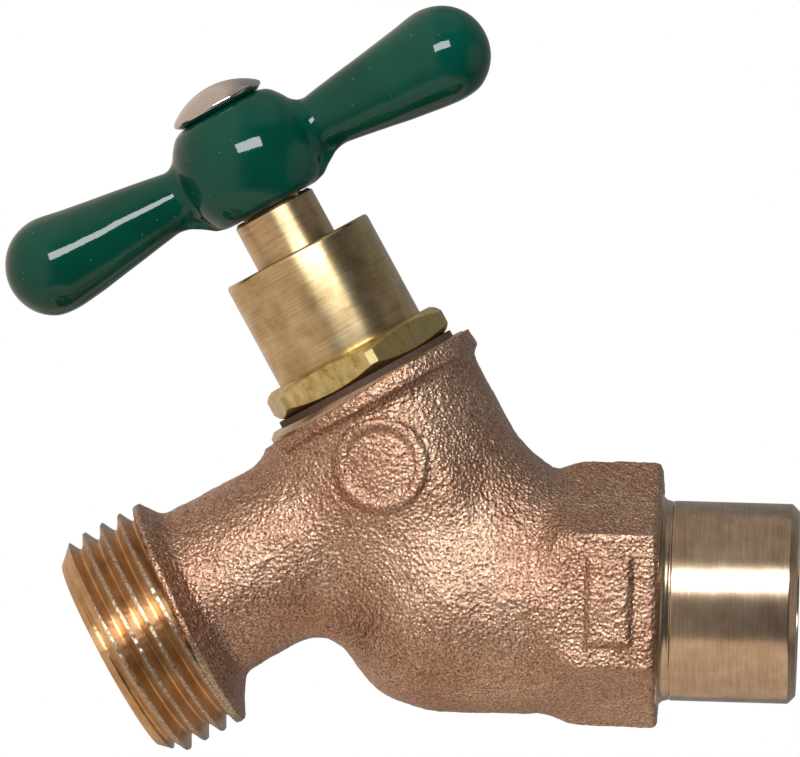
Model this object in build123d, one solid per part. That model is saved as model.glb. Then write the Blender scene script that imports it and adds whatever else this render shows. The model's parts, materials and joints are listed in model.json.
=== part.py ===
from build123d import *
import os
from math import cos, radians, sin, sqrt, tan

# Angled hose bib for copper tube. Millimetres, +Z up.
# Origin: centre of the inlet's mouth face. +X: inlet axis, pointing out of the mouth.
# The stem leans back from the inlet, and the outlet points down and away from it, square to the stem.

# ---- driving dimensions -------------------------------------------------------------------------

STEM_ANGLE = 120.0            # stem axis, from +X towards +Z
OUTLET_ANGLE = 210.0          # outlet axis, from +X towards +Z
STEM_FOOT_X = -35.0           # where the stem axis crosses the inlet axis
OUTLET_HEIGHT = 13.85         # where the outlet axis crosses the stem axis, up the stem
OUTLET_REACH = 39.7           # from that crossing to the outlet's mouth
PAST = 1.0                    # how far a cut or a joined shape runs past the face that it meets
JOIN = 0.2                    # the same, where there is little room

# inlet: 3/4 in copper fitting outside, 1/2 in copper tube inside
SPIGOT_R = 22.225 / 2
SPIGOT_LENGTH = 15.3
SPIGOT_CHAMFER = 0.85
SOCKET_R = 15.94 / 2
SOCKET_DEPTH = 12.7
WATERWAY_R = 6.6

# casting
INLET_HEX_FLATS = 25.6
INLET_HEX_END = 26.0
INLET_HEX_RAISED = 0.45       # the cast hexagon sits this far above the turned spigot's axis
BARREL_R = 13.1
BARREL_BALL_X = -38.4
NECK_R = 11.8
NECK_RING_R = 12.65
NECK_TOP = 27.0
NECK_RING_HEIGHT = 2.0
NECK_RING_SLOPE = 1.0
TUBE_R = 9.8
TUBE_OFFSET = 1.0             # the tube's casting sits this far above the thread's axis
TUBE_END = 27.5
LIP_R = 13.4
LIP_FLARE = 1.5
LIP_EDGE = 0.5
LIP_ROOT = 0.6
NECK_BLEND = 6.0
TUBE_BLEND = 5.0
RING_CHAMFER = 0.8
HEX_ROUNDING = 0.9

# hose thread, 3/4-11.5 NH
HOSE_PITCH = 25.4 / 11.5
HOSE_CREST_R = 13.5
HOSE_ROOT_R = 11.97
HOSE_ROOT_FLAT = 0.2
HOSE_LEAD_R = 11.4
HOSE_LEAD = 2.2
HOSE_GROOVE_START = 30.35
HOSE_THREAD_START = 28.9
GROOVE_OPEN = 0.1             # how far a thread groove's section reaches outside the crests
MOUTH_BORE_R = 8.2
MOUTH_BORE_DEPTH = 11.0
OUTLET_BORE_R = 6.9

# chamber and seat, heights up the stem
CHAMBER_FLOOR = 6.6
SEAT_HOLE_R = 4.8
SEAT_LIP_R = 6.2
SEAT_LIP_SLOPE = 0.9
WATERWAY_BALL = 1.5           # the waterway's round end goes this far past the stem's axis
SEAT_TOP = 7.9

# bonnet: screwed into the neck
BONNET_THREAD_R = 9.9
BONNET_THREAD_DEPTH = 0.8
BONNET_PITCH = 1.4
BONNET_THREAD_LOW = 18.0
BONNET_THREAD_HIGH = 26.4
BONNET_BOTTOM = 17.5
BONNET_FIT = 0.06
THREAD_RELIEF = 0.3
CHAMBER_R = BONNET_THREAD_R - BONNET_THREAD_DEPTH
GASKET_R = 10.8
GASKET_THICK = 0.7
GASKET_BORE_R = 9.6
BONNET_HEX_FLATS = 20.64
BONNET_HEX_THICK = 3.35
BONNET_HEX_TURN = -18.0
BONNET_HEX_CHAMFER = 0.1      # how far the turned chamfer reaches in from the flats
GUARD_R = 8.81
GUARD_TOP = 43.6
GUARD_CHAMFER = 0.5
FOOT_ROOM_R = 7.6
FOOT_ROOM_TOP = 22.4
STEM_THREAD_ROOM_TOP = 35.8

# stem
RUNNING = 0.05                # radial clearance of a running fit
STEM_R = 4.8
STEM_SHOULDER = 49.2
STEM_THREAD_R = 6.35
STEM_THREAD_DEPTH = 1.05
STEM_ROOT_FLAT = 0.9
STEM_LEAD = 2.54
STEM_THREAD_BOTTOM = 16.0
STEM_THREAD_TOP = 28.0
STEM_THREAD_LEAD = 1.0
STEM_FOOT_R = 7.1
FOOT_THICK = 1.9
FOOT_SLOPE = 0.6
RELIEF_R = 5.2
CUP_EDGE = 1.44               # the cup's edge stops this far above the washer's lower face
SHOULDER_CHAMFER = 0.4
TENON_FLATS = 6.8
TENON_TOP = 58.4

# seals
O_RING_SECTION = 1.78
O_RING_HEIGHTS = (38.0, 40.9)
O_RING_GROOVE = 1.3           # groove's width, as a share of the ring's section
O_RING_FIT = 0.02
WASHER_R = 6.5
WASHER_THICK = 3.2

# handle
HUB_R = 8.38
HUB_CENTRE = 54.97
HUB_BOTTOM = 49.3
HUB_TOP = 61.4
ARM_TAPER = 9.16              # half the cone's angle, degrees
ARM_END_R = 5.65
ARM_END_CENTRE = 24.45
ARM_BLEND = 1.0
WEB_DROP = 5.2
WEB_INNER = 6.7
WEB_OUTER = 10.2
WEB_RISE = 2.6
WEB_THICK = 3.0
BROACH_ROOM = 0.4

# screws
HANDLE_SCREW_R = 2.4
HANDLE_SCREW_HEAD_R = 5.45
HANDLE_SCREW_HEAD = 2.9
HANDLE_SCREW_RIM = 0.7
HANDLE_SCREW_EDGE = 0.4
HANDLE_SCREW_HOLE_FIT = 0.3
HANDLE_SCREW_END = 47.5
SCREW_FIT = 0.03
WASHER_SCREW_R = 2.0
WASHER_SCREW_HEAD_R = 3.4
WASHER_SCREW_HEAD = 1.9
WASHER_SCREW_EDGE = 0.5
WASHER_SCREW_TOP = 19.0
SLOT_WIDTH = 0.9


# ---- the three working axes -----------------------------------------------------------------------

def direction(angle):
    """Unit vector in the XZ plane, at an angle from +X towards +Z."""
    return Vector(cos(radians(angle)), 0, sin(radians(angle)))


stem_axis = direction(STEM_ANGLE)
outlet_axis = direction(OUTLET_ANGLE)
stem_foot = Vector(STEM_FOOT_X, 0, 0)
outlet_root = stem_foot + stem_axis * OUTLET_HEIGHT

# local Z runs along each axis, and local Y is the model's +Y
AT_INLET = Plane(origin=(0, 0, 0), x_dir=(0, 0, 1), z_dir=(-1, 0, 0))
AT_STEM = Plane(origin=stem_foot, x_dir=direction(STEM_ANGLE - 90), z_dir=stem_axis)
AT_OUTLET = Plane(origin=outlet_root, x_dir=stem_axis, z_dir=outlet_axis)


def turned(outline, place=AT_STEM):
    """Solid of revolution about a working axis, from a face or from (radius, height) points."""
    face = outline if isinstance(outline, Sketch) else make_face(Polyline(*outline, close=True))
    return place.location * revolve(Plane.XZ * face, axis=Axis.Z)


def rod(radius, low, high, place=AT_STEM):
    """Round bar between two heights on a working axis."""
    return turned([(0, low), (radius, low), (radius, high), (0, high)], place)


def hexagon(flats, low, high, turn, place):
    """Hexagonal bar between two heights on a working axis."""
    face = Pos(0, 0, low) * Rot(0, 0, turn) * RegularPolygon(flats / 2, 6, major_radius=False)
    return place.location * extrude(face, high - low)


def thread_teeth(crest_r, depth, pitch, low, high):
    """Zigzag of (radius, height) points from low to high, for a fine thread drawn as rings."""
    count = int((high - low) / pitch)
    points = []
    for tooth in range(count):
        start = low + tooth * pitch
        points += [(crest_r - depth, start), (crest_r, start + pitch / 2)]
    return points + [(crest_r - depth, low + count * pitch)]


# ---- body -------------------------------------------------------------------------------------------

def inlet_barrel():
    """Round barrel from the inlet hexagon, closed by a ball under the seat."""
    root = INLET_HEX_END - 2 * PAST
    centre = -BARREL_BALL_X
    outline = make_face(
        Polyline((0, centre + BARREL_R), (0, root), (BARREL_R, root), (BARREL_R, centre))
        + CenterArc((0, centre), BARREL_R, 0, 90)
    )
    return turned(outline, AT_INLET)


def outlet_tube():
    """Cast tube from the chamber to the hose thread, a little above the thread's axis."""
    raised = Plane(origin=outlet_root + stem_axis * TUBE_OFFSET, x_dir=stem_axis, z_dir=outlet_axis)
    return rod(TUBE_R, 0, TUBE_END, raised)


def on_tube(edge):
    """Whether an edge lies on the outlet tube's surface."""
    for part_way in (0.0, 0.5, 1.0):
        offset = (edge @ part_way) - outlet_root - stem_axis * TUBE_OFFSET
        if abs((offset - outlet_axis * offset.dot(outlet_axis)).length - TUBE_R) > 0.01:
            return False
    return edge.geom_type not in (GeomType.CIRCLE, GeomType.LINE)


def branches():
    """Barrel, neck and outlet tube, blended where they meet."""
    skin = inlet_barrel() + rod(NECK_R, 0, NECK_TOP - NECK_RING_HEIGHT)
    seam = [edge for edge in skin.edges() if edge.geom_type == GeomType.BSPLINE]
    skin = fillet(seam, NECK_BLEND) + outlet_tube()
    return fillet([edge for edge in skin.edges() if on_tube(edge)], TUBE_BLEND)


def neck_ring():
    """Bead round the neck's mouth, faced flat on top."""
    low = NECK_TOP - NECK_RING_HEIGHT
    foot = low - NECK_RING_SLOPE
    return turned([(0, foot), (NECK_R, foot), (NECK_RING_R, low), (NECK_RING_R, NECK_TOP - RING_CHAMFER),
                   (NECK_RING_R - RING_CHAMFER, NECK_TOP), (0, NECK_TOP)])


def inlet_hexagon():
    """Cast hexagon behind the spigot, for a wrench."""
    raised = Plane(origin=(0, 0, INLET_HEX_RAISED), x_dir=(0, 0, 1), z_dir=(-1, 0, 0))
    block = hexagon(INLET_HEX_FLATS, SPIGOT_LENGTH, INLET_HEX_END, 0, raised)
    return fillet(block.edges(), HEX_ROUNDING)


def spigot():
    """Turned end of the inlet, which fits in a copper fitting."""
    face_r = SPIGOT_R - SPIGOT_CHAMFER
    return turned([(0, 0), (face_r, 0), (SPIGOT_R, SPIGOT_CHAMFER), (SPIGOT_R, INLET_HEX_END),
                   (0, INLET_HEX_END)], AT_INLET)


def helical_groove(root_r, mouth_r, root_width, pitch, low, turns):
    """Right-hand 60 degree thread groove about the local Z axis, open outwards."""
    path = Helix(pitch, pitch * turns, root_r, center=(0, 0, low))
    depth = mouth_r - root_r
    root_half = root_width / 2
    mouth_half = root_half + depth * tan(radians(30))
    section = make_face(Polyline((0, -root_half), (depth, -mouth_half), (depth, mouth_half), (0, root_half),
                                 close=True))
    start = Plane(origin=path @ 0, x_dir=(1, 0, 0), z_dir=path % 0)
    return sweep(start * section, path=path, is_frenet=True)


def hose_thread():
    """Hose thread, chamfered at the mouth."""
    past_mouth = OUTLET_REACH + HOSE_PITCH
    turns = (past_mouth - HOSE_GROOVE_START) / HOSE_PITCH
    bar = rod(HOSE_CREST_R, HOSE_THREAD_START, past_mouth + HOSE_PITCH, Plane.XY)
    bar -= helical_groove(HOSE_ROOT_R, HOSE_CREST_R + GROOVE_OPEN, HOSE_ROOT_FLAT, HOSE_PITCH,
                          HOSE_GROOVE_START, turns)
    slope = HOSE_LEAD / (HOSE_CREST_R - HOSE_LEAD_R)
    wide_r = HOSE_CREST_R + PAST
    lead_start = OUTLET_REACH - HOSE_LEAD - slope * PAST
    form = turned([(0, HOSE_THREAD_START), (wide_r, HOSE_THREAD_START), (wide_r, lead_start),
                   (HOSE_LEAD_R, OUTLET_REACH), (0, OUTLET_REACH)], Plane.XY)
    return AT_OUTLET.location * (bar & form)


def hose_lip():
    """Cast lip that flares out behind the hose thread."""
    low = TUBE_END - 2 * PAST
    return turned([(0, low), (TUBE_R - TUBE_OFFSET, low), (TUBE_R, TUBE_END - LIP_ROOT),
                   (TUBE_R + LIP_FLARE, HOSE_THREAD_START - LIP_EDGE), (LIP_R, HOSE_THREAD_START),
                   (0, HOSE_THREAD_START)], AT_OUTLET)


def water_passages():
    """Everything bored or cored out of the body, but for the seat's rim."""
    socket = rod(SOCKET_R, -PAST, SOCKET_DEPTH, AT_INLET)
    ball = -STEM_FOOT_X + WATERWAY_BALL
    inlet_core = turned(make_face(
        Polyline((0, ball + WATERWAY_R), (0, 0), (WATERWAY_R, 0), (WATERWAY_R, ball))
        + CenterArc((0, ball), WATERWAY_R, 0, 90)
    ), AT_INLET)
    seat_hole = rod(SEAT_HOLE_R, 0, SEAT_TOP + PAST)
    chamber = turned(
        [(0, CHAMBER_FLOOR), (CHAMBER_R, CHAMBER_FLOOR)]
        + thread_teeth(BONNET_THREAD_R, BONNET_THREAD_DEPTH, BONNET_PITCH, BONNET_THREAD_LOW,
                       BONNET_THREAD_HIGH)
        + [(BONNET_THREAD_R, BONNET_THREAD_HIGH + THREAD_RELIEF), (BONNET_THREAD_R, NECK_TOP + PAST),
           (0, NECK_TOP + PAST)]
    )
    outlet_core = rod(OUTLET_BORE_R, 0, OUTLET_REACH + PAST, AT_OUTLET)
    mouth = rod(MOUTH_BORE_R, OUTLET_REACH - MOUTH_BORE_DEPTH, OUTLET_REACH + PAST, AT_OUTLET)
    return [socket, inlet_core, seat_hole, chamber, outlet_core, mouth]


def seat_rim():
    """Raised rim that the washer closes on."""
    low = CHAMBER_FLOOR - JOIN
    return turned([(SEAT_HOLE_R, low), (SEAT_LIP_R + SEAT_LIP_SLOPE, low), (SEAT_LIP_R, SEAT_TOP),
                   (SEAT_HOLE_R, SEAT_TOP)])


def body():
    """The bronze casting: inlet, partition with its seat, neck and hose end."""
    casting = branches() + neck_ring() + inlet_hexagon() + spigot() + hose_lip() + hose_thread()
    for hollow in water_passages():
        casting -= hollow
    return casting + seat_rim()


# ---- bonnet and its seals -----------------------------------------------------------------------------

def bonnet_gasket():
    """Flat fibre ring between the bonnet's hexagon and the neck."""
    high = NECK_TOP + GASKET_THICK
    return rod(GASKET_R, NECK_TOP, high) - rod(GASKET_BORE_R, NECK_TOP - PAST, high + PAST)


def bonnet_hexagon():
    """Hexagon of the bonnet, chamfered above and below."""
    low = NECK_TOP + GASKET_THICK
    high = low + BONNET_HEX_THICK
    corner = BONNET_HEX_FLATS / sqrt(3)
    chamfer = corner - BONNET_HEX_FLATS / 2 + BONNET_HEX_CHAMFER
    drop = chamfer * tan(radians(30))
    crown = turned([(0, low), (corner - chamfer, low), (corner, low + drop), (corner, high - drop),
                    (corner - chamfer, high), (0, high)])
    return hexagon(BONNET_HEX_FLATS, low, high, BONNET_HEX_TURN, AT_STEM) & crown


def bonnet():
    """One piece turned from hexagon bar: threaded shank, hexagon and the deep guard round the stem."""
    shank_r = CHAMBER_R - BONNET_FIT
    teeth = thread_teeth(BONNET_THREAD_R - BONNET_FIT, BONNET_THREAD_DEPTH, BONNET_PITCH, BONNET_THREAD_LOW,
                         BONNET_THREAD_HIGH)
    top = GUARD_TOP - GUARD_CHAMFER
    step = NECK_TOP + GASKET_THICK + PAST
    outside = turned([(0, BONNET_BOTTOM), (shank_r, BONNET_BOTTOM)] + teeth
                     + [(shank_r, step), (GUARD_R, step), (GUARD_R, top),
                        (GUARD_R - GUARD_CHAMFER, GUARD_TOP), (0, GUARD_TOP)])
    shape = outside + bonnet_hexagon()
    low = BONNET_BOTTOM - PAST
    shape -= rod(FOOT_ROOM_R, low, FOOT_ROOM_TOP)
    shape -= rod(STEM_THREAD_R + RUNNING, low, STEM_THREAD_ROOM_TOP)
    shape -= rod(STEM_R + RUNNING, low, GUARD_TOP + PAST)
    half_groove = O_RING_SECTION * O_RING_GROOVE / 2
    for height in O_RING_HEIGHTS:
        shape -= rod(o_ring_outer_r() + O_RING_FIT, height - half_groove, height + half_groove)
    return shape


def o_ring_outer_r():
    """Outside radius of the stem's seals."""
    return STEM_R + RUNNING / 2 + O_RING_SECTION


def stem_o_ring(height):
    """Rubber ring in a groove of the bonnet, which the stem slides and turns in."""
    section = Pos(STEM_R + RUNNING / 2 + O_RING_SECTION / 2, height) * Circle(O_RING_SECTION / 2)
    return turned(section)


# ---- stem and seat washer -------------------------------------------------------------------------------

def seat_washer():
    """Flat rubber washer, loose on its screw, so that it stops turning when it meets the seat."""
    high = SEAT_TOP + WASHER_THICK
    return rod(WASHER_R, SEAT_TOP, high) - rod(WASHER_SCREW_R + RUNNING, SEAT_TOP - PAST, high + PAST)


def washer_screw():
    """Brass pan-head screw up through the washer into the stem."""
    low = SEAT_TOP - RUNNING - WASHER_SCREW_HEAD
    high = SEAT_TOP - RUNNING
    edge_r = WASHER_SCREW_HEAD_R - WASHER_SCREW_EDGE
    shape = turned([(0, low), (edge_r, low), (WASHER_SCREW_HEAD_R, low + WASHER_SCREW_EDGE),
                    (WASHER_SCREW_HEAD_R, high), (WASHER_SCREW_R, high), (WASHER_SCREW_R, WASHER_SCREW_TOP),
                    (0, WASHER_SCREW_TOP)])
    slot = AT_STEM.location * (Pos(0, 0, low) * Box(3 * WASHER_SCREW_HEAD_R, SLOT_WIDTH, 2 * SLOT_WIDTH))
    return shape - slot


def square_end(flats, corner_r, low, high):
    """Square bar with its corners turned off, for the handle's drive."""
    bar = AT_STEM.location * (Pos(0, 0, (low + high) / 2) * Box(flats, flats, high - low))
    return bar & rod(corner_r, low, high)


def stem_thread():
    """Coarse screw thread that raises the stem as it turns."""
    low = STEM_THREAD_BOTTOM
    high = STEM_THREAD_TOP
    root_r = STEM_THREAD_R - STEM_THREAD_DEPTH
    bar = rod(STEM_THREAD_R, low - STEM_LEAD, high + STEM_LEAD, Plane.XY)
    bar -= helical_groove(root_r, STEM_THREAD_R + GROOVE_OPEN, STEM_ROOT_FLAT, STEM_LEAD, low - STEM_LEAD / 2,
                          (high - low) / STEM_LEAD + 1)
    wide_r = STEM_THREAD_R + STEM_THREAD_LEAD
    lead = wide_r - root_r
    form = turned([(0, low), (root_r, low), (wide_r, low + lead), (wide_r, high - lead), (root_r, high),
                   (0, high)], Plane.XY)
    return AT_STEM.location * (bar & form)


def stem():
    """Brass spindle: cup for the washer, coarse screw thread, plain shank and the handle's square."""
    cup_top = SEAT_TOP + WASHER_THICK + RUNNING
    cup_low = SEAT_TOP + CUP_EDGE
    foot_top = cup_top + FOOT_THICK
    shape = turned([(0, cup_low), (STEM_FOOT_R, cup_low), (STEM_FOOT_R, foot_top),
                    (RELIEF_R, foot_top + FOOT_SLOPE), (RELIEF_R, STEM_THREAD_BOTTOM + PAST),
                    (0, STEM_THREAD_BOTTOM + PAST)])
    shape += stem_thread()
    shank_low = STEM_THREAD_TOP - PAST
    shape += turned([(0, shank_low), (STEM_R, shank_low), (STEM_R, STEM_SHOULDER - SHOULDER_CHAMFER),
                     (STEM_R - SHOULDER_CHAMFER, STEM_SHOULDER), (0, STEM_SHOULDER)])
    shape -= rod(WASHER_R + RUNNING, cup_low - PAST, cup_top)
    shape -= rod(WASHER_SCREW_R + RUNNING, cup_low - PAST, WASHER_SCREW_TOP + PAST)
    shape += square_end(TENON_FLATS, STEM_R - RUNNING, STEM_SHOULDER - JOIN, TENON_TOP)
    return shape - rod(HANDLE_SCREW_R + SCREW_FIT, HANDLE_SCREW_END - PAST, TENON_TOP + PAST)


# ---- handle ------------------------------------------------------------------------------------------------

def hub():
    """Ball at the middle of the handle, flat above and below."""
    ball = AT_STEM.location * (Pos(0, 0, HUB_CENTRE) * Sphere(HUB_R))
    return ball & rod(HUB_R + PAST, HUB_BOTTOM, HUB_TOP)


def arm(side):
    """Round arm that widens from the hub to a ball end; side is 1 or -1."""
    taper = radians(ARM_TAPER)
    touch = ARM_END_CENTRE - ARM_END_R * sin(taper)
    touch_r = ARM_END_R * cos(taper)
    root_r = touch_r - touch * tan(taper)
    outline = make_face(
        Polyline((ARM_END_CENTRE + ARM_END_R, 0), (0, 0), (0, root_r), (touch, touch_r))
        + CenterArc((ARM_END_CENTRE, 0), ARM_END_R, 0, 90 + ARM_TAPER)
    )
    shape = revolve(outline, axis=Axis.X)
    return AT_STEM.location * (Pos(0, 0, HUB_CENTRE) * Rot(0, 0, 0 if side > 0 else 180) * shape)


def web(side):
    """Thin triangular rib under an arm, from the hub's underside."""
    outline = Plane.XZ * make_face(Polyline((0, -WEB_DROP), (WEB_INNER, -WEB_DROP), (WEB_OUTER, -WEB_RISE),
                                            (WEB_OUTER, 0), (0, 0), close=True))
    shape = extrude(outline, WEB_THICK / 2, both=True)
    return AT_STEM.location * (Pos(0, 0, HUB_CENTRE) * Rot(0, 0, 0 if side > 0 else 180) * shape)


def on_hub(edge):
    """Whether an edge is where an arm meets the hub's ball."""
    offset = (edge @ 0) - stem_foot - stem_axis * HUB_CENTRE
    return abs(offset.length - HUB_R) < 0.01 and abs(offset.dot(stem_axis)) < ARM_END_R


def handle():
    """Enamelled T-handle, broached square for the stem."""
    shape = hub() + arm(1) + arm(-1)
    shape = fillet([edge for edge in shape.edges() if on_hub(edge)], ARM_BLEND)
    shape += web(1) + web(-1)
    shape -= square_end(TENON_FLATS + 2 * RUNNING, STEM_R, HUB_BOTTOM - PAST, TENON_TOP + BROACH_ROOM)
    return shape - rod(HANDLE_SCREW_R + HANDLE_SCREW_HOLE_FIT, HUB_BOTTOM, HUB_TOP + PAST)


def handle_screw():
    """Domed screw that holds the handle down on the stem."""
    top = HUB_TOP + HANDLE_SCREW_HEAD
    rise = HANDLE_SCREW_HEAD - HANDLE_SCREW_RIM
    dome_r = (HANDLE_SCREW_HEAD_R ** 2 + rise ** 2) / (2 * rise)
    dome = Pos(0, top - dome_r) * Circle(dome_r)
    outline = Polyline((0, HUB_TOP), (HANDLE_SCREW_HEAD_R - HANDLE_SCREW_EDGE, HUB_TOP),
                       (HANDLE_SCREW_HEAD_R, HUB_TOP + HANDLE_SCREW_RIM),
                       (HANDLE_SCREW_HEAD_R, top), (0, top), close=True)
    return turned(make_face(outline) & dome) + rod(HANDLE_SCREW_R, HANDLE_SCREW_END, HUB_TOP + JOIN)


pieces = {
    "body": body(),
    "bonnet_gasket": bonnet_gasket(),
    "bonnet": bonnet(),
    "stem_o_ring_lower": stem_o_ring(O_RING_HEIGHTS[0]),
    "stem_o_ring_upper": stem_o_ring(O_RING_HEIGHTS[1]),
    "seat_washer": seat_washer(),
    "washer_screw": washer_screw(),
    "stem": stem(),
    "handle": handle(),
    "handle_screw": handle_screw(),
}

os.makedirs("parts", exist_ok=True)
for name, shape in pieces.items():
    export_step(shape, "parts/" + name + ".step")
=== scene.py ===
import json
from math import cos, pi, radians, sin, sqrt, tan

import bpy
import numpy as np
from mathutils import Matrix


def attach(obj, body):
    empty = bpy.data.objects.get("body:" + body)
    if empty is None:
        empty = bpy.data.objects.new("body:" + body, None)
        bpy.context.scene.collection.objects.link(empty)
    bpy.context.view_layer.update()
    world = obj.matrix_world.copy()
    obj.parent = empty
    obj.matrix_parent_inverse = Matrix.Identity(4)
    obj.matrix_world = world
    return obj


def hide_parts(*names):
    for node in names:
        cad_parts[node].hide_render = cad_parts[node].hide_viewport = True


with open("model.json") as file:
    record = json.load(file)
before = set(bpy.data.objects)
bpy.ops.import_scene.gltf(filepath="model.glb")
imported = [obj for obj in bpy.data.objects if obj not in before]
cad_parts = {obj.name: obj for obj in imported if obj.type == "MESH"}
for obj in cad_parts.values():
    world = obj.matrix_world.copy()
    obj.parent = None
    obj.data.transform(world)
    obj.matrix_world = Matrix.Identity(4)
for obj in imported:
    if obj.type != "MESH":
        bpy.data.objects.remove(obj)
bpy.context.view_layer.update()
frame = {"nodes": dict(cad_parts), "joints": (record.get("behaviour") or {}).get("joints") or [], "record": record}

import openvdb
from mathutils import Matrix, Vector

MM = 0.001


# ---- Where the valve stands: its three axes ---------------------------------------------------
# The inlet runs along +X from the origin. The stem and the outlet take their axes from the frame,
# as the stem's joint and the outlet's mount, and all lie in the XZ plane.

mounts = {mount["name"]: mount for mount in frame["record"]["mounts"]}
joints = {joint["name"]: joint for joint in frame["joints"]}
stem_axis = Vector(joints["handle_turn"]["axis"])
stem_foot = Vector(joints["handle_turn"]["pos_m"])
outlet_axis = Vector(mounts["outlet_mouth"]["axis"])
outlet_mouth = Vector(mounts["outlet_mouth"]["pos_m"])
DEEP = Vector((0, 1, 0))


def standing(origin, z_axis):
    """Matrix of a piece made about its own Z axis, with its Y along the model's +Y."""
    x_axis = DEEP.cross(z_axis)
    turn = Matrix((x_axis, DEEP, z_axis)).transposed()
    return Matrix.Translation(origin) @ turn.to_4x4()


AT_INLET = standing(Vector((0, 0, 0)), Vector((-1, 0, 0)))
AT_STEM = standing(stem_foot, stem_axis)
AT_OUTLET = standing(outlet_mouth, outlet_axis)


# ---- Studio: floor, light and camera ----------------------------------------------------------
# A pale floor well below the valve, one long soft box above the camera, a warm table and cards, and
# a dark room behind the camera. That room is what draws dark bands on turned metal.

LOOK_AT = Vector((-44.9, 0, 23.85)) * MM
CAMERA_AWAY = 1.3
CAMERA_AZIMUTH = radians(2.7)
CAMERA_ELEVATION = radians(2.5)
CAMERA_ROLL = radians(1.49)
CAMERA_LENS = 526.0
FLOOR_DROP = 0.16
FLOOR_R = 0.19
BOX_AZIMUTH = radians(4)
BOX_ELEVATION = radians(27)
BOX_ROLL = radians(20)
BOX_AWAY = 0.8
BOX_LONG, BOX_HIGH = radians(38), radians(15.5)
BOX_WATTS = 7.6
CARD = "#ECD9CB"
CEILING = "#B9B1AC"
ROOM = "#54565C"


def srgb(hex_code):
    """Linear RGBA of an sRGB hex colour."""
    channels = [int(hex_code[i:i + 2], 16) / 255 for i in (1, 3, 5)]
    return [c / 12.92 if c <= 0.04045 else ((c + 0.055) / 1.055) ** 2.4 for c in channels] + [1.0]


def wire(tree, made, **inputs):
    """Link or set a node's inputs; spaces in a name are written as _, and i6 is input 6."""
    for name, value in inputs.items():
        key = int(name[1:]) if name[0] == "i" and name[1:].isdigit() else name.replace("_", " ")
        if isinstance(value, bpy.types.NodeSocket):
            tree.links.new(value, made.inputs[key])
        else:
            made.inputs[key].default_value = value
    return made


def node(tree, kind, settings=None, **inputs):
    """Add a shader node, set its properties and wire its inputs."""
    made = tree.nodes.new("ShaderNode" + kind)
    for name, value in (settings or {}).items():
        setattr(made, name, value)
    return wire(tree, made, **inputs)


def ramp(tree, value, *stops):
    """Colour ramp node; each stop is (position, colour) with a hex colour or a grey number."""
    made = node(tree, "ValToRGB", i0=value)
    elements = made.color_ramp.elements
    while len(elements) < len(stops):
        elements.new(0.5)
    for element, (position, colour) in zip(elements, stops):
        element.position = position
        element.color = srgb(colour) if isinstance(colour, str) else (colour, colour, colour, 1)
    return made.outputs["Color"]


def mixed(tree, share, first, second, blend="MIX"):
    """Second colour mixed or blended onto the first by a share."""
    made = node(tree, "Mix", {"data_type": "RGBA", "blend_type": blend},
                i0=share, i6=first, i7=second)
    return made.outputs[2]


def mesh_object(name, points, faces, place=Matrix.Identity(4), sharp_from=35):
    """Smooth-shaded object from points in a piece's own axes, creased where faces meet sharply."""
    mesh = bpy.data.meshes.new(name)
    mesh.from_pydata([tuple(p) for p in points], [], faces)
    mesh.transform(place)
    mesh.validate()
    mesh.shade_smooth()
    mesh.set_sharp_from_angle(angle=radians(sharp_from))
    made = bpy.data.objects.new(name, mesh)
    bpy.context.scene.collection.objects.link(made)
    return made


def towards(azimuth, elevation):
    """Unit vector from the valve to a place round it; azimuth 0 is in front, 90 along +X."""
    return Vector((sin(azimuth) * cos(elevation), -cos(azimuth) * cos(elevation), sin(elevation)))


def facing(back, roll):
    """Rotation of a camera or lamp whose back is to a direction, rolled to the left."""
    side = Vector((-back.y, back.x, 0)).normalized()
    above = back.cross(side)
    right = side * cos(roll) + above * sin(roll)
    return Matrix((right, back.cross(right), back)).transposed().to_4x4()


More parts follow.
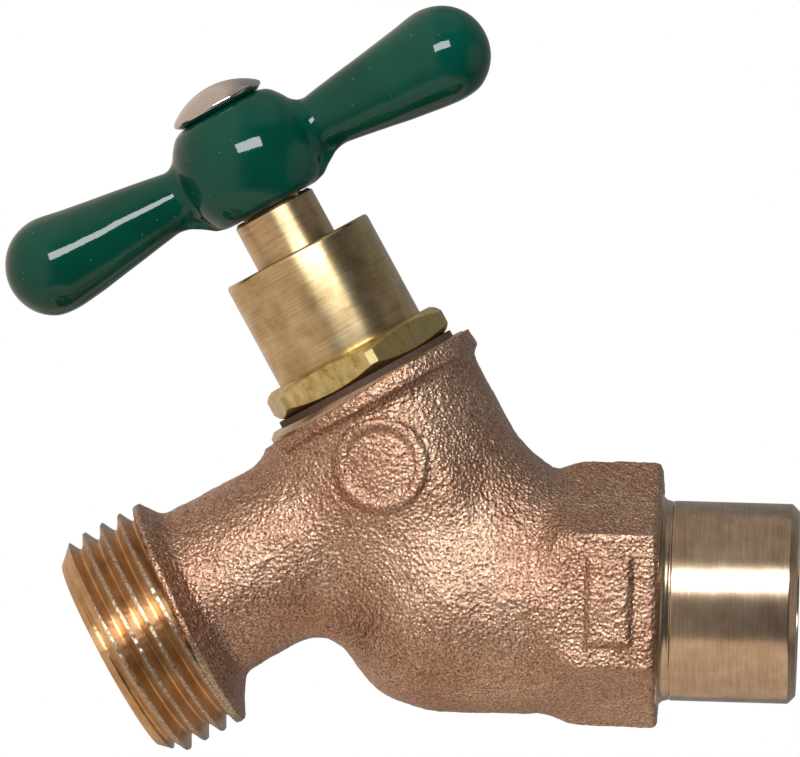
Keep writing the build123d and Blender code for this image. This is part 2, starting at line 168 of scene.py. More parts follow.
def build_studio():
    """Floor, surroundings, soft box and camera."""
    turns = [i * pi / 64 for i in range(128)]
    rim = [(LOOK_AT.x + FLOOR_R * cos(turn), FLOOR_R * sin(turn), -FLOOR_DROP) for turn in turns]
    floor = mesh_object("floor", rim, [list(range(len(rim)))])
    paint = bpy.data.materials.new("pale_floor_paint")
    paint.use_nodes = True
    shader = paint.node_tree.nodes["Principled BSDF"]
    shader.inputs["Base Color"].default_value = srgb("#EFE3D6")
    shader.inputs["Roughness"].default_value = 0.9
    floor.data.materials.append(paint)

    world = bpy.data.worlds.new("studio_surroundings")
    world.use_nodes = True
    bpy.context.scene.world = world
    tree = world.node_tree
    tree.nodes.clear()
    way = node(tree, "TexCoord").outputs["Generated"]
    parts = node(tree, "SeparateXYZ", Vector=way).outputs
    def cards(axis, *stops):
        """Ramp over how far a direction points along a world axis: 0 is against it, 1 along."""
        share = node(tree, "MapRange", Value=parts[axis], i1=-1.0, i2=1.0).outputs[0]
        return ramp(tree, share, *stops)

    sideways = cards("X", (0.0, CARD), (0.34, CARD), (0.47, 0.28), (0.58, ROOM), (0.93, ROOM),
                     (0.98, CEILING))
    depth = cards("Y", (0.46, 0.0), (0.58, 0.18), (0.75, 0.30))
    height = cards("Z", (0.11, CARD), (0.22, 0.0), (0.87, 0.0), (0.93, CEILING))
    higher = mixed(tree, 1.0, depth, height, "LIGHTEN")
    light = mixed(tree, 1.0, sideways, higher, "LIGHTEN")
    around = node(tree, "Background", Color=light, Strength=1.0)
    backdrop = node(tree, "Background", Color=srgb("#FFFFFF"), Strength=1.0)
    seen = node(tree, "LightPath").outputs["Is Camera Ray"]
    either = node(tree, "MixShader", i0=seen, i1=around.outputs[0], i2=backdrop.outputs[0])
    node(tree, "OutputWorld", Surface=either.outputs[0])

    lamp = bpy.data.lights.new("front_soft_box", "AREA")
    lamp.shape = "RECTANGLE"
    lamp.size = 2 * BOX_AWAY * tan(BOX_LONG / 2)
    lamp.size_y = 2 * BOX_AWAY * tan(BOX_HIGH / 2)
    lamp.energy = BOX_WATTS
    soft_box = bpy.data.objects.new("front_soft_box", lamp)
    way = towards(BOX_AZIMUTH, BOX_ELEVATION)
    soft_box.matrix_world = Matrix.Translation(LOOK_AT + way * BOX_AWAY) @ facing(way, BOX_ROLL)
    bpy.context.scene.collection.objects.link(soft_box)

    lens = bpy.data.cameras.new("camera")
    lens.sensor_width = 36
    lens.lens = CAMERA_LENS
    lens.clip_start = 0.05
    lens.clip_end = 20
    camera = bpy.data.objects.new("camera", lens)
    way = towards(CAMERA_AZIMUTH, CAMERA_ELEVATION)
    camera.matrix_world = Matrix.Translation(LOOK_AT + way * CAMERA_AWAY) @ facing(way, CAMERA_ROLL)
    bpy.context.scene.collection.objects.link(camera)
    bpy.context.scene.camera = camera
    bpy.context.scene.view_settings.view_transform = "Standard"
    bpy.context.scene.view_settings.look = "None"


build_studio()


# ---- Body: the sand casting -------------------------------------------------------------------
# One leaded red-bronze casting: hexagon, barrel with the seat inside, neck and outlet tube. It is
# poured in green sand, so its skin keeps the grain of the sand, and its branches run into each
# other in generous fillets.

HEX_START, HEX_END = 15.3, 28.0
HEX_HALF, HEX_ROUNDING = 12.8, 0.9
HEX_RAISED = 0.45
HEX_RUN_OUT, HEX_RUN_OUT_BLEND = 0.6, 0.8
BARREL_R, BARREL_BALL = 13.05, 38.4
BARREL_WAIST, BARREL_WAIST_CURVE = 0.08, 1.3
CROTCH_HALF_WIDE = 13.2
NECK_R = 11.7
NECK_RING_R, NECK_RING_HALF_HIGH = 12.55, 1.5
NECK_TOP, NECK_FACED = 27.0, 0.25
NECK_CAST_TOP, NECK_CAST_TILT = 26.55, 0.055
TUBE_R = 9.75
TUBE_RAISED = 1.0
OUTLET_HEIGHT = 13.85
LIP_R, LIP_HEAVY = 13.25, 0.8
LIP_START, LIP_FULL, LIP_FACE = 26.2, 29.6, 30.35
LIP_SINK, LIP_CURVE, LIP_STEEPNESS = 0.3, 1.6, 0.7
LIP_SLANT, LIP_EDGE = 0.045, 0.45
LIP_TURNED_R = 13.35
NECK_BLEND, TUBE_BLEND = 6.0, 5.0
RING_BLEND, LIP_BLEND, HEX_BLEND = 1.6, 0.6, 0.9
MARK_HEIGHT, MARK_ASIDE = 18.4, -2.4
MARK_R = 4.6
MARK_HALF_WIDE, MARK_PROUD = 0.9, 0.55
PAD_X, PAD_HALF_WIDE, PAD_HALF_HIGH = -20.7, 2.7, 5.2
WATERWAY_R, WATERWAY_END = 6.6, 36.5
CHAMBER_R, CHAMBER_FLOOR = 9.95, 6.6
SEAT_HOLE_R = 4.8
OUTLET_CORE_R = 6.9
SAND_GRAIN = 0.42
SKIN_LUMPS = ((SAND_GRAIN, 0.055), (SAND_GRAIN * 2.3, 0.05), (3.4, 0.09), (9.0, 0.10))
SKIN_DEEP = 0.8
VOXEL = 0.24
STEM_LEAN = np.array(stem_axis)
OUTLET_WAY = np.array(outlet_axis)


def along(points, origin, axis):
    """Distance along an axis and away from it, for points in millimetres."""
    offset = points - np.asarray(origin, np.float32)
    rise = offset @ np.asarray(axis, np.float32)
    away = np.sqrt(np.maximum((offset * offset).sum(-1) - rise * rise, 0))
    return rise, away


def bar_field(points, origin, axis, radius, low, high):
    """Signed distance to a round bar."""
    rise, away = along(points, origin, axis)
    side = away - radius
    end = np.abs(rise - (low + high) / 2) - (high - low) / 2
    return np.minimum(np.maximum(side, end), 0) + np.hypot(np.maximum(side, 0), np.maximum(end, 0))


def joined(a, b, blend):
    """Union of two fields with a round fillet where they meet."""
    inside = np.hypot(np.maximum(blend - a, 0), np.maximum(blend - b, 0))
    return np.maximum(blend, np.minimum(a, b)) - inside


def hexagon_field(points):
    """Inlet hexagon, corners up and down and edges rounded; a cone runs it out to the barrel."""
    rise = -points[..., 0]
    y, z = np.abs(points[..., 1]), np.abs(points[..., 2] - HEX_RAISED)
    flat = np.maximum(y, y * 0.5 + z * sqrt(3) / 2) - (HEX_HALF - HEX_ROUNDING)
    end = np.maximum(HEX_START - rise, rise - HEX_END - 1) + HEX_ROUNDING
    outside = np.hypot(np.maximum(flat, 0), np.maximum(end, 0))
    body = np.minimum(np.maximum(flat, end), 0) + outside - HEX_ROUNDING
    cone = np.hypot(y, z) - BARREL_R - (HEX_END - rise) * HEX_RUN_OUT
    return -joined(-body, -cone / sqrt(1 + HEX_RUN_OUT ** 2), HEX_RUN_OUT_BLEND)


foot_mm = np.array(stem_foot) / MM
outlet_root_mm = foot_mm + STEM_LEAN * OUTLET_HEIGHT


def lip_field(points):
    """Flare behind the hose thread, heavier below, with a rounded edge where the thread starts."""
    offset = points - outlet_root_mm
    sideways = offset @ STEM_LEAN
    rise = offset @ OUTLET_WAY + LIP_SLANT * sideways
    share = np.clip((rise - LIP_START) / (LIP_FULL - LIP_START), 0, 1)
    away = np.hypot(sideways - TUBE_RAISED * (1 - share), offset[..., 1])
    full = LIP_R + LIP_HEAVY * np.clip(-sideways / LIP_R, 0, 1)
    root = TUBE_R - LIP_SINK
    flare = (away - root - (full - root) * share ** LIP_CURVE) * LIP_STEEPNESS
    edge = -joined(-flare, LIP_FACE - rise, LIP_EDGE)
    return np.maximum(edge, LIP_START - 1 - rise)


def outside_field(points):
    """Outside of the casting, without its grain; each branch starts inside its neighbour."""
    barrel_rise, barrel_away = along(points, (0, 0, 0), (-1, 0, 0))
    beyond = np.maximum(barrel_rise - BARREL_BALL, 0)
    waist = BARREL_WAIST * np.maximum(HEX_END + 2 - barrel_rise, 0) ** BARREL_WAIST_CURVE
    barrel = np.maximum(np.hypot(barrel_away, beyond) - BARREL_R + waist,
                        HEX_START + 5 - barrel_rise)
    neck = bar_field(points, foot_mm, STEM_LEAN, NECK_R, -2, NECK_CAST_TOP - 1)
    tube_root = outlet_root_mm + STEM_LEAN * TUBE_RAISED
    tube = bar_field(points, tube_root, OUTLET_WAY, TUBE_R, -2, LIP_FACE - 1)
    from_middle = (points[..., 1] / CROTCH_HALF_WIDE) ** 2
    crotch = NECK_BLEND * np.sqrt(np.maximum(1 - from_middle, 0.04))
    skin = joined(joined(barrel, neck, crotch), tube, TUBE_BLEND)
    rise, away = along(points, foot_mm, STEM_LEAN)
    aside = (points - foot_mm) @ np.cross(DEEP, STEM_LEAN)
    ring = np.maximum(np.abs(rise - NECK_CAST_TOP) - NECK_RING_HALF_HIGH, away - NECK_RING_R)
    skin = joined(skin, ring, RING_BLEND)
    top = np.minimum(NECK_CAST_TOP + NECK_CAST_TILT * aside, NECK_TOP - NECK_FACED)
    skin = np.maximum(skin, rise - top)
    skin = joined(skin, lip_field(points), LIP_BLEND)
    return joined(skin, hexagon_field(points), HEX_BLEND)


def with_marks(points, skin):
    """Generic casting marks on the near side: a plain raised ring and a blank raised pad."""
    rise = along(points, foot_mm, STEM_LEAN)[0]
    aside = (points - foot_mm) @ np.cross(DEEP, STEM_LEAN)
    from_mark = np.hypot(rise - MARK_HEIGHT, aside - MARK_ASIDE)
    ring = MARK_HALF_WIDE - np.abs(from_mark - MARK_R)
    pad = np.minimum(PAD_HALF_WIDE - np.abs(points[..., 0] - PAD_X),
                     PAD_HALF_HIGH - np.abs(points[..., 2] - HEX_RAISED))
    share = np.clip(np.maximum(ring, pad) / MARK_HALF_WIDE, 0, 1)
    height = MARK_PROUD * np.sin(share * pi / 2)
    return skin - np.where(points[..., 1] < 0, height, 0)


def hollow_field(points):
    """Waterway, bonnet's chamber, seat's hole and outlet core, each run out past the metal."""
    waterway_rise, waterway_away = along(points, (0, 0, 0), (-1, 0, 0))
    beyond = np.maximum(waterway_rise - WATERWAY_END, 0)
    waterway = np.hypot(waterway_away, beyond) - WATERWAY_R
    chamber = bar_field(points, foot_mm, STEM_LEAN, CHAMBER_R, CHAMBER_FLOOR, 40)
    seat_hole = bar_field(points, foot_mm, STEM_LEAN, SEAT_HOLE_R, 0, 8)
    outlet = bar_field(points, outlet_root_mm, OUTLET_WAY, OUTLET_CORE_R, 0, 60)
    return np.minimum(np.minimum(waterway, chamber), np.minimum(seat_hole, outlet))


def lumps(points, size, seed):
    """Smooth random field of about -1 to 1, with features of a size in millimetres."""
    table = np.random.default_rng(seed).uniform(-1, 1, 32 ** 3).astype(np.float32)
    scaled = points / size + 1000
    cell = np.floor(scaled).astype(np.int64)
    share = (scaled - cell).astype(np.float32)
    share = share * share * (3 - 2 * share)
    total = np.zeros(points.shape[:-1], np.float32)
    for corner in np.ndindex(2, 2, 2):
        index = (cell + corner) % 32
        weight = np.prod(np.where(corner, share, 1 - share), axis=-1)
        total += weight * table[index[..., 0] * 1024 + index[..., 1] * 32 + index[..., 2]]
    return total


def casting_field(points):
    """The whole casting, with sand grain on its skin and the lip's rim turned down."""
    skin = with_marks(points, outside_field(points))
    near = np.abs(skin) < SKIN_DEEP
    grain = np.zeros_like(skin)
    spots = points[near]
    grain[near] = sum(lumps(spots, size, seed) * height
                      for seed, (size, height) in enumerate(SKIN_LUMPS, 1))
    offset = points - outlet_root_mm
    turned = np.hypot(offset @ STEM_LEAN, offset[..., 1]) - LIP_TURNED_R
    turned = np.where(offset @ OUTLET_WAY > LIP_START, turned, -1.0)
    return np.maximum(np.maximum(skin - grain, turned), -hollow_field(points))


def solid_from(name, field, low, high, voxel, place=Matrix.Identity(4), sharp_from=60):
    """Mesh of the surface where a field is zero, in a box given in millimetres."""
    counts = [int((high[i] - low[i]) / voxel) + 2 for i in range(3)]
    steps = [low[i] + voxel * np.arange(counts[i], dtype=np.float32) for i in range(3)]
    band = 3 * voxel
    slab = 16
    values = np.empty(counts, np.float32)
    for i in range(0, counts[0], slab):
        block = np.meshgrid(steps[0][i:i + slab], steps[1], steps[2], indexing="ij")
        values[i:i + slab] = np.clip(field(np.stack(block, axis=-1)), -band, band)
    grid = openvdb.FloatGrid(background=band)
    grid.copyFromArray(values, tolerance=0.0)
    points, quads = grid.convertToQuads(isovalue=0.0)
    points = points * voxel + np.array(low)
    # Two steps down the field's slope bring each point onto the surface itself.
    for _ in range(2):
        here = field(points.astype(np.float32))
        nudge = voxel * 0.3
        slope = np.stack([field((points + offset).astype(np.float32)) - here
                          for offset in np.eye(3) * nudge], axis=-1) / nudge
        steep = np.maximum((slope * slope).sum(-1), 0.2)
        points = points - slope * np.clip(here / steep, -voxel / 2, voxel / 2)[:, None] * 0.9
    return mesh_object(name, points * MM, quads[:, ::-1].tolist(), place, sharp_from)


casting = solid_from("casting", casting_field, (-80, -15.2, -18), (-14.8, 15.2, 31.5), VOXEL)
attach(casting, "valve_body")
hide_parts("body")


def material(name):
    """New material, its node tree and its Principled shader."""
    made = bpy.data.materials.new(name)
    made.use_nodes = True
    return made, made.node_tree, made.node_tree.nodes["Principled BSDF"]


def dress(piece, *finishes):
    """Give a piece its materials in place of those it has."""
    piece.data.materials.clear()
    for finish in finishes:
        piece.data.materials.append(finish)


def noise(tree, place, size, detail, rough=0.5):
    """Noise with features of a size in millimetres."""
    made = node(tree, "TexNoise", Vector=place, Scale=1 / (size * MM), Detail=detail,
                Roughness=rough)
    return made.outputs["Fac"]


def bump(tree, height, deep, strength, over=None):
    """Normal of a skin raised by a height of a depth in millimetres, over another bump."""
    made = node(tree, "Bump", Strength=strength, Distance=deep * MM, Height=height)
    if over is not None:
        tree.links.new(over, made.inputs["Normal"])
    return made.outputs[0]


def sand_cast_bronze():
    """Tumbled red bronze: pinkish brown, each sand grain's dent catching the light on its own."""
    made, tree, shader = material("sand_cast_bronze")
    place = node(tree, "TexCoord").outputs["Object"]
    grains = node(tree, "TexVoronoi", {"feature": "SMOOTH_F1"}, Vector=place,
                  Scale=1 / (SAND_GRAIN * MM), Smoothness=0.4)
    fine = noise(tree, place, 0.24, 3.0, 0.6)
    broad = noise(tree, place, 9, 3.0, 0.55)
    tone = ramp(tree, fine, (0.32, "#6F5746"), (0.50, "#AE8F79"), (0.70, "#E2C8B3"))
    patch = ramp(tree, broad, (0.35, "#E8D9D4"), (0.65, "#FFFFFF"))
    rough = node(tree, "MapRange", Value=grains.outputs["Color"], i1=0.0, i2=1.0, i3=0.30,
                 i4=0.54).outputs[0]
    dents = bump(tree, grains.outputs["Distance"], 0.16, 0.9)
    wire(tree, shader, Base_Color=mixed(tree, 1.0, tone, patch, "MULTIPLY"), Metallic=1.0,
         Roughness=rough, Normal=bump(tree, fine, 0.10, 0.9, over=dents))
    return made


dress(casting, sand_cast_bronze())


# ---- Body: its machined ends ------------------------------------------------------------------
# The same casting where it was turned: the spigot that fits a copper fitting, the neck's face, the
# hose thread and the rim of the lip behind it. Fresh cuts are yellower and show the tool's rings.

SPIGOT_R, SPIGOT_CHAMFER = 11.1125, 0.85
SPIGOT_END, RELIEF_DEEP, RELIEF_FULL = 13.9, 0.12, 14.1
COLLAR_START, COLLAR_FILLET = 14.35, 0.9
SOCKET_R, SOCKET_DEEP = 7.97, 12.7
INLET_RING_END = 16.5
BORE_STEP = 0.1
NECK_FACE_LOW = 25.2
NECK_FACE_CHAMFER = 0.6
HOSE_CREST_R, HOSE_ROOT_R = 13.47, 11.97
HOSE_SHARP = 0.22
HOSE_PITCH = 25.4 / 11.5
HOSE_BACK = 10.1
HOSE_PHASE = 3.8
FLANK_CURVE = 1.2
TORN_LOSS, TORN_DEPTH = 0.10, 0.07
CUT_ROUGHNESS = 0.012
MOUTH_R, MOUTH_TAPER = 11.4, 0.955
MOUTH_BORE_R, MOUTH_BORE_CHAMFER = 8.2, 0.35


def rounded(outline, radius, steps=4):
    """Closed (radius, height) outline with its corners rounded."""
    made = []
    for i, here in enumerate(outline):
        before, after = Vector(outline[i - 1]), Vector(outline[(i + 1) % len(outline)])
        corner = Vector(here)
        cut = min(radius, (before - corner).length / 2.2, (after - corner).length / 2.2)
        start = corner + (before - corner).normalized() * cut
        end = corner + (after - corner).normalized() * cut
        for step in range(steps + 1):
            t = step / steps
            made.append(tuple(start * (1 - t) ** 2 + corner * 2 * t * (1 - t) + end * t ** 2))
    return made


def swept(name, outlines, place, sharp_from=35):
    """Closed ring about the local Z axis from a (radius, height) outline for each step round."""
    around, count = len(outlines), len(outlines[0])
    turns = [2 * pi * i / around for i in range(around)]
    points = [(r * cos(turn) * MM, r * sin(turn) * MM, z * MM)
              for turn, outline in zip(turns, outlines) for r, z in outline]
    faces = [[i * count + j, ((i + 1) % around) * count + j,
              ((i + 1) % around) * count + (j + 1) % count, i * count + (j + 1) % count]
             for i in range(around) for j in range(count)]
    return mesh_object(name, points, faces, place, sharp_from)


def lathe(name, outline, place, around=192):
    """Ring with the same outline all round."""
    return swept(name, [outline] * around, place)


def level_along(tree, place, axis):
    """An axis as a socket, and the part of a place that lies along it."""
    way = node(tree, "CombineXYZ", X=axis[0], Y=axis[1], Z=axis[2]).outputs[0]
    rise = node(tree, "VectorMath", {"operation": "DOT_PRODUCT"}, i0=place, i1=way)
    level = node(tree, "VectorMath", {"operation": "SCALE"}, i0=way, Scale=rise.outputs["Value"])
    return way, level.outputs[0]


def turned_metal(name, axis, dark, middle, light, ring_gap, rough, spread=0.75):
    """Turned copper alloy: rings of the tool round an axis, which spread highlights along it."""
    made, tree, shader = material(name)
    place = node(tree, "TexCoord").outputs["Object"]
    way, level = level_along(tree, place, axis)
    squeezed = node(tree, "VectorMath", {"operation": "MULTIPLY_ADD"}, i0=place,
                    i1=(0.03, 0.03, 0.03), i2=level).outputs[0]
    rings = noise(tree, squeezed, ring_gap, 4.0, 0.7)
    haze = noise(tree, place, 2.6, 6.0, 0.6)
    tone = ramp(tree, haze, (0.20, dark), (0.50, middle), (0.90, light))
    lined = ramp(tree, rings, (0.35, "#E6E0D8"), (0.6, "#FFFFFF"))
    dull = node(tree, "MapRange", Value=haze, i1=0.3, i2=0.75, i3=rough * 0.98,
                i4=rough * 1.04).outputs[0]
    wire(tree, shader, Base_Color=mixed(tree, 1.0, tone, lined, "MULTIPLY"), Metallic=1.0,
         Anisotropic=spread, Tangent=way, Roughness=dull, Normal=bump(tree, rings, 0.02, 0.25))
    return made


machined_bronze = turned_metal("machined_bronze", Vector((1, 0, 0)), "#9E8A74", "#B8A38B",
                               "#D0BEA8", ring_gap=0.16, rough=0.25, spread=0.5)

collar = [(SPIGOT_R + COLLAR_FILLET * (1 - cos(a)), COLLAR_START + COLLAR_FILLET * sin(a))
          for a in np.linspace(0, pi / 2, 7)]
spigot_outside = [(SOCKET_R, 0.0), (SPIGOT_R - SPIGOT_CHAMFER, 0.0), (SPIGOT_R, SPIGOT_CHAMFER),
                  (SPIGOT_R, SPIGOT_END), (SPIGOT_R - RELIEF_DEEP, RELIEF_FULL)]
spigot_inside = [(SPIGOT_R + COLLAR_FILLET, INLET_RING_END),
                 (WATERWAY_R - BORE_STEP, INLET_RING_END),
                 (WATERWAY_R - BORE_STEP, SOCKET_DEEP), (SOCKET_R, SOCKET_DEEP)]
spigot = lathe("inlet_spigot", rounded(spigot_outside + collar + spigot_inside, 0.15), AT_INLET)
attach(spigot, "valve_body")
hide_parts("body")
dress(spigot, machined_bronze)

neck_face = lathe("neck_face", rounded([
    (CHAMBER_R, NECK_FACE_LOW), (NECK_RING_R - 0.25, NECK_FACE_LOW),
    (NECK_RING_R - 0.05, NECK_TOP - NECK_FACE_CHAMFER),
    (NECK_RING_R - 0.05 - NECK_FACE_CHAMFER, NECK_TOP), (CHAMBER_R, NECK_TOP)], 0.12), AT_STEM)
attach(neck_face, "valve_body")
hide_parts("body")
dress(neck_face, machined_bronze)


def hose_thread():
    """Hose thread: a helix of thin 60 degree crests, torn at the edge, faded by the chamfer."""
    around, rows = 420, 190
    angle = np.linspace(0, 2 * pi, around, endpoint=False)
    rise = np.linspace(-HOSE_BACK, 0, rows)
    turn, level = np.meshgrid(angle, rise, indexing="ij")
    phase = ((level - HOSE_PITCH * turn / (2 * pi) + HOSE_PHASE) / HOSE_PITCH) % 1.0
    from_crest = np.minimum(phase, 1 - phase) * HOSE_PITCH
    spots = np.stack([np.cos(turn) * 13, np.sin(turn) * 13, level], axis=-1).astype(np.float32)
    torn = HOSE_CREST_R - TORN_LOSS - TORN_DEPTH * lumps(spots, 0.5, 7)
    tall = HOSE_CREST_R + HOSE_SHARP - HOSE_ROOT_R
    flank = np.maximum(1 - from_crest * tan(radians(60)) / tall, 0) ** FLANK_CURVE
    radius = np.minimum(torn, HOSE_ROOT_R + tall * flank)
    radius = np.minimum(radius, MOUTH_R - level * MOUTH_TAPER)
    radius += CUT_ROUGHNESS * lumps(spots, 0.35, 8)
    back = [(MOUTH_BORE_R, -HOSE_BACK), (HOSE_ROOT_R - 0.4, -HOSE_BACK)]
    mouth = [(MOUTH_R - 0.25, 0.0), (MOUTH_BORE_R + MOUTH_BORE_CHAMFER, 0.0),
             (MOUTH_BORE_R, -MOUTH_BORE_CHAMFER)]
    outlines = [back + list(zip(radius[i], rise)) + mouth for i in range(around)]
    return swept("hose_thread", outlines, AT_OUTLET, 50)


def thread_cut_bronze():
    """Thread fresh from the die: tan flanks, and crests torn pale and grainy."""
    made = turned_metal("thread_cut_bronze", outlet_axis, "#B0885C", "#CDA87C", "#E8CCA2",
                        ring_gap=0.22, rough=0.38, spread=0.95)
    tree = made.node_tree
    shader = tree.nodes["Principled BSDF"]
    place = node(tree, "TexCoord").outputs["Object"]
    offset = node(tree, "VectorMath", {"operation": "SUBTRACT"}, i0=place, i1=tuple(outlet_mouth))
    across = node(tree, "VectorMath", {"operation": "CROSS_PRODUCT"}, i0=offset.outputs[0],
                  i1=tuple(outlet_axis))
    away = node(tree, "VectorMath", {"operation": "LENGTH"}, i0=across.outputs[0])
    crest = node(tree, "MapRange", Value=away.outputs["Value"], i1=(HOSE_CREST_R - 0.28) * MM,
                 i2=(HOSE_CREST_R - 0.08) * MM).outputs[0]
    grainy = ramp(tree, noise(tree, place, 0.2, 2.0), (0.35, "#94806A"), (0.65, "#EADDCB"))
    flank = shader.inputs["Base Color"].links[0].from_socket
    flank_rough = shader.inputs["Roughness"].links[0].from_socket
    duller = node(tree, "Mix", i0=crest, i2=flank_rough, i3=0.55).outputs[0]
    wire(tree, shader, Base_Color=mixed(tree, crest, flank, grainy), Roughness=duller)
    return made


thread = hose_thread()
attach(thread, "valve_body")
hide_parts("body")
thread_bronze = thread_cut_bronze()
dress(thread, thread_bronze)

casting.data.materials.append(thread_bronze)
middles = np.empty(3 * len(casting.data.polygons))
casting.data.polygons.foreach_get("center", middles)
lip_rise, lip_away = along(middles.reshape(-1, 3) / MM, outlet_root_mm, OUTLET_WAY)
turned_lip = (lip_rise > LIP_START) & (lip_away > LIP_TURNED_R - 0.05)
casting.data.polygons.foreach_set("material_index", turned_lip.astype(np.int32))


# ---- Bonnet and its gasket --------------------------------------------------------------------
# One piece turned from 13/16 in hexagon brass bar. The hexagon's flats keep the drawn bar's skin,
# and the deep guard round the stem is turned. A fibre ring seals it on the neck's face.

BONNET_HEX_HALF = 10.32
BONNET_BAR_R = 11.62
BONNET_HEX_LOW, BONNET_HEX_HIGH = 27.7, 31.05
BONNET_HEX_BORE_R = 8.6
BONNET_CHAMFER, BONNET_CHAMFER_IN = radians(28), 0.35
BONNET_TURN = radians(-18)
GUARD_R = 8.81
GUARD_LOW, GUARD_TOP = 30.2, 43.6
GUARD_MOUTH_CHAMFER = 0.35
STEM_HOLE_R = 4.87
STEM_THREAD_ROOM_R, STEM_THREAD_ROOM_TOP = 6.45, 35.8
SEAL_R, SEAL_HALF_HIGH = 6.65, 1.15
SEAL_LEVELS = (40.9, 38.0)
SHANK_BORE_R, SHANK_SKIRT_R, SHANK_R = 6.4, 7.6, 9.0
SHANK_LOW, SHANK_STEP, SHANK_TOP = 17.5, 22.4, 30.0


def bonnet_hexagon():
    """Hexagon of the bonnet: turned chamfers above and below, corners trimmed by the bar's size."""
    start = BONNET_HEX_HALF - BONNET_CHAMFER_IN
    outlines = []
    for angle in np.linspace(0, 2 * pi, 720, endpoint=False):
        off_flat = (angle - BONNET_TURN) % (pi / 3) - pi / 6
        edge = min(BONNET_HEX_HALF / cos(off_flat), BONNET_BAR_R)
        drop = (edge - start) * tan(BONNET_CHAMFER)
        low = [(BONNET_HEX_BORE_R, BONNET_HEX_LOW), (start, BONNET_HEX_LOW),
               (edge - 0.05, BONNET_HEX_LOW + drop - 0.03), (edge, BONNET_HEX_LOW + drop + 0.06)]
        middle = BONNET_HEX_LOW + BONNET_HEX_HIGH
        outlines.append(low + [(r, middle - z) for r, z in reversed(low)])
    return swept("bonnet_hexagon", outlines, AT_STEM, 20)


def drawn_brass():
    """As-drawn hexagon brass: yellower, streaked along the bar and a little scuffed."""
    made, tree, shader = material("drawn_brass")
    place = node(tree, "TexCoord").outputs["Object"]
    drop = level_along(tree, place, stem_axis)[1]
    stretched = node(tree, "VectorMath", {"operation": "MULTIPLY_ADD"}, i0=drop,
                     i1=(-0.5, -0.5, -0.5), i2=place).outputs[0]
    streaks = noise(tree, stretched, 0.9, 7.0, 0.72)
    tone = ramp(tree, streaks, (0.30, "#857544"), (0.47, "#B8A66C"), (0.68, "#D2C494"))
    dull = node(tree, "MapRange", Value=streaks, i1=0.3, i2=0.7, i3=0.45, i4=0.28).outputs[0]
    wire(tree, shader, Base_Color=tone, Metallic=1.0, Roughness=dull,
         Normal=bump(tree, streaks, 0.04, 0.4))
    return made


turned_brass = turned_metal("turned_brass", stem_axis, "#A08A60", "#C2AC82", "#DCCBA6",
                            ring_gap=0.2, rough=0.28, spread=0.6)
bonnet_hex = bonnet_hexagon()
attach(bonnet_hex, "valve_body")
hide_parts("bonnet")
dress(bonnet_hex, drawn_brass())

grooves = []
for level in SEAL_LEVELS:
    top, bottom = level + SEAL_HALF_HIGH, level - SEAL_HALF_HIGH
    grooves += [(STEM_HOLE_R, top), (SEAL_R, top), (SEAL_R, bottom), (STEM_HOLE_R, bottom)]
guard_outside = [(STEM_THREAD_ROOM_R, GUARD_LOW), (GUARD_R, GUARD_LOW), (GUARD_R, GUARD_TOP),
                 (STEM_HOLE_R + GUARD_MOUTH_CHAMFER, GUARD_TOP),
                 (STEM_HOLE_R, GUARD_TOP - GUARD_MOUTH_CHAMFER)]
thread_room = [(STEM_HOLE_R, STEM_THREAD_ROOM_TOP), (STEM_THREAD_ROOM_R, STEM_THREAD_ROOM_TOP)]
guard = lathe("bonnet_guard", rounded(guard_outside, 0.5) + grooves + thread_room, AT_STEM)
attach(guard, "valve_body")
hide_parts("bonnet")
dress(guard, turned_brass)

shank = lathe("bonnet_shank", rounded([
    (SHANK_BORE_R, SHANK_STEP), (SHANK_SKIRT_R, SHANK_STEP), (SHANK_SKIRT_R, SHANK_LOW),
    (SHANK_R, SHANK_LOW), (SHANK_R, SHANK_TOP), (SHANK_BORE_R, SHANK_TOP)], 0.2), AT_STEM)
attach(shank, "valve_body")
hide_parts("bonnet")
dress(shank, turned_brass)


def plain_finish(name, dark, light, grain, rough):
    """Dull material with a fine mottle, for the seals."""
    made, tree, shader = material(name)
    place = node(tree, "TexCoord").outputs["Object"]
    mottle = noise(tree, place, grain, 4.0, 0.6)
    wire(tree, shader, Base_Color=ramp(tree, mottle, (0.3, dark), (0.7, light)), Roughness=rough,
         Normal=bump(tree, mottle, 0.03, 0.3))
    return made


dress(frame["nodes"]["bonnet_gasket"], plain_finish("red_fibre", "#2A1A10", "#4C3424", 0.3, 0.75))
seal_rubber = plain_finish("seal_rubber", "#0E0E0E", "#1C1C1B", 0.25, 0.55)
for seal in ("stem_o_ring_lower", "stem_o_ring_upper", "seat_washer"):
    dress(frame["nodes"][seal], seal_rubber)


# ---- Stem and washer screw --------------------------------------------------------------------
# The stem is turned from 3/8 in brass rod, with a coarse thread, a cup for the washer and a square
# for the handle. It shows only between the guard and the handle.

stem_material = turned_metal("stem_brass", stem_axis, "#A08A68", "#C6AE88", "#E0CDAC",
                             ring_gap=0.2, rough=0.36)
for name in ("stem", "washer_screw"):
    dress(frame["nodes"][name], stem_material)


# ---- Handle -----------------------------------------------------------------------------------
# Cast T-handle dipped in thick green enamel. The coat wanders a little, so long highlights on it
# are wavy, and a few dust specks are caught in it.

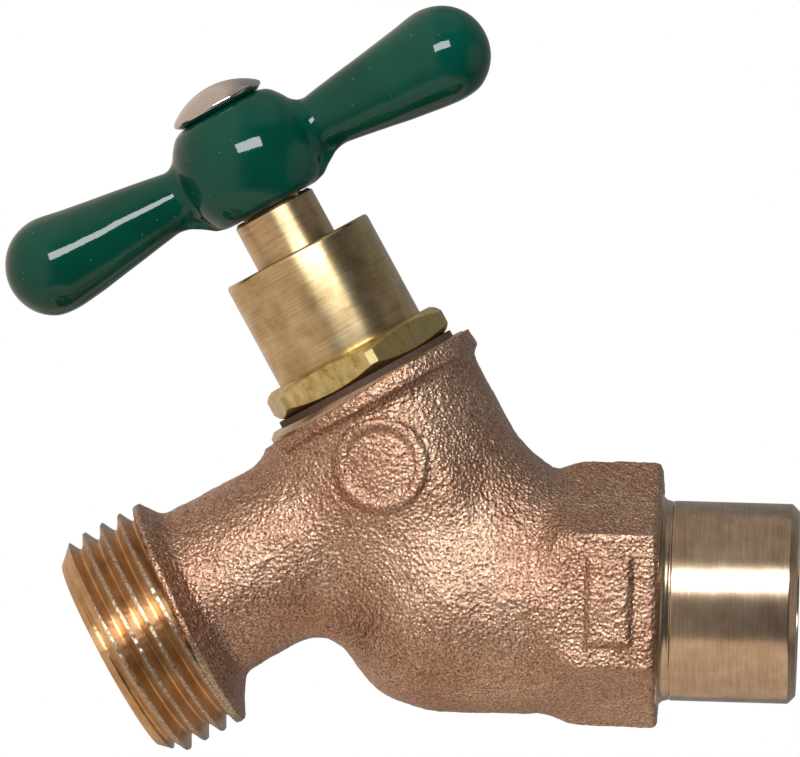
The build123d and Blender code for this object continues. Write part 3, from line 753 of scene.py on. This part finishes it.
HUB_R = 8.33
HUB_CENTRE = 54.97
HUB_LOW, HUB_HIGH = 49.3, 61.4
ARM_BALL, ARM_BALL_R = 24.45, 5.6
ARM_TAPER = radians(9.16)
WEB_HALF, WEB_DROP, WEB_REACH = 1.1, 5.2, 10.6
WEB_RISE_FROM, WEB_RISE, WEB_STEEPNESS = 6.7, 0.62, 0.85
ARM_BLEND, WEB_BLEND, HUB_EDGE = 1.3, 0.8, 0.7
SQUARE_HALF, SQUARE_TOP = 3.45, 3.8
SCREW_HOLE_R = 2.7
COAT_WANDER = ((2.6, 0.030), (6.0, 0.035))
HANDLE_VOXEL = 0.3


def handle_field(points):
    """Handle in the stem's axes: X along the arms, Z up the stem, in millimetres."""
    x, y, z = points[..., 0], points[..., 1], points[..., 2] - HUB_CENTRE
    hub = np.sqrt(x * x + y * y + z * z) - HUB_R
    cap = np.maximum(HUB_LOW - HUB_CENTRE - z, z - HUB_HIGH + HUB_CENTRE)
    away = np.hypot(y, z)
    reach = np.abs(x)
    ball = np.hypot(away, reach - ARM_BALL) - ARM_BALL_R
    cone = away * cos(ARM_TAPER) - (ARM_BALL_R + (reach - ARM_BALL) * sin(ARM_TAPER))
    below_ball = reach * cos(ARM_TAPER) + away * sin(ARM_TAPER) < ARM_BALL * cos(ARM_TAPER)
    whole = joined(hub, np.where(below_ball, cone, ball), ARM_BLEND)
    lower_edge = -z - WEB_DROP + np.maximum(reach - WEB_RISE_FROM, 0) * WEB_RISE
    web = np.maximum(np.maximum(np.abs(y) - WEB_HALF, lower_edge),
                     np.maximum(z, reach - WEB_REACH)) * WEB_STEEPNESS
    whole = joined(whole, web, WEB_BLEND)
    whole = -joined(-whole, -cap, HUB_EDGE)
    socket = np.maximum(np.maximum(np.abs(x), np.abs(y)) - SQUARE_HALF, z - SQUARE_TOP)
    bore = np.maximum(np.hypot(x, y) - SCREW_HOLE_R, -10 - z)
    whole = np.maximum(whole, -np.minimum(socket, bore))
    return whole - sum(lumps(points, size, seed) * height
                       for seed, (size, height) in enumerate(COAT_WANDER, 21))


handle = solid_from("handle_casting", handle_field, (-31, -9.5, 48.5), (31, 9.5, 63),
                    HANDLE_VOXEL, AT_STEM, 50)
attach(handle, "spindle")
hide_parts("handle")


def green_enamel():
    """Thick deep green enamel: near-mirror gloss over a soft wander, with a few specks."""
    made, tree, shader = material("green_enamel")
    place = node(tree, "TexCoord").outputs["Object"]
    broad = noise(tree, place, 7, 2.0)
    tone = ramp(tree, broad, (0.3, "#003529"), (0.7, "#004033"))
    specks = node(tree, "TexVoronoi", {"feature": "F1"}, Vector=place, Scale=1 / (1.5 * MM))
    dot = ramp(tree, specks.outputs["Distance"], (0.035, 1.0), (0.065, 0.0))
    colour = mixed(tree, dot, tone, srgb("#1E7A64"))
    skin = bump(tree, noise(tree, place, 1.4, 2.0), 0.05, 0.25)
    wire(tree, shader, Base_Color=colour, Roughness=0.06, IOR=1.34,
         Normal=bump(tree, dot, 0.06, 0.6, over=skin))
    return made


dress(handle, green_enamel())


# ---- Handle screw -----------------------------------------------------------------------------
# Nickel-plated steel screw with a low domed head, down through the handle into the stem.

HEAD_R = 5.43
HEAD_LOW, HEAD_RISE = 61.42, 2.85
RIM_HIGH, RIM_ROLL = 0.85, 0.25
UNDERCUT = 0.7
SCREW_R, SCREW_END = 2.35, 47.6


def screw_outline():
    """Outline of the screw: dome, rolled rim and shank, almost closed on the axis."""
    rise = HEAD_RISE - RIM_HIGH
    dome_r = (HEAD_R ** 2 + rise ** 2) / (2 * rise)
    dome_centre = HEAD_LOW + HEAD_RISE - dome_r
    span = np.arcsin((HEAD_R - RIM_ROLL) / dome_r)
    dome = [(dome_r * sin(a), dome_centre + dome_r * cos(a)) for a in np.linspace(0.004, span, 16)]
    roll = [(HEAD_R - RIM_ROLL + RIM_ROLL * sin(a), HEAD_LOW + RIM_HIGH - 0.2 + 0.3 * cos(a))
            for a in np.linspace(0.5, pi * 0.8, 8)]
    return dome + roll + [(HEAD_R - UNDERCUT, HEAD_LOW), (SCREW_R, HEAD_LOW),
                          (SCREW_R, SCREW_END), (0.02, SCREW_END)]


def plated_steel():
    """Nickel plate: warm grey, soft gloss, with fine pits."""
    made, tree, shader = material("nickel_plate")
    place = node(tree, "TexCoord").outputs["Object"]
    pits = noise(tree, place, 0.25, 5.0, 0.65)
    wire(tree, shader, Base_Color=ramp(tree, pits, (0.35, "#B4AEA8"), (0.65, "#C8C3BD")),
         Metallic=1.0, Roughness=0.15, Normal=bump(tree, pits, 0.02, 0.15))
    return made


screw = lathe("domed_screw", screw_outline(), AT_STEM)
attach(screw, "spindle")
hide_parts("handle_screw")
dress(screw, plated_steel())
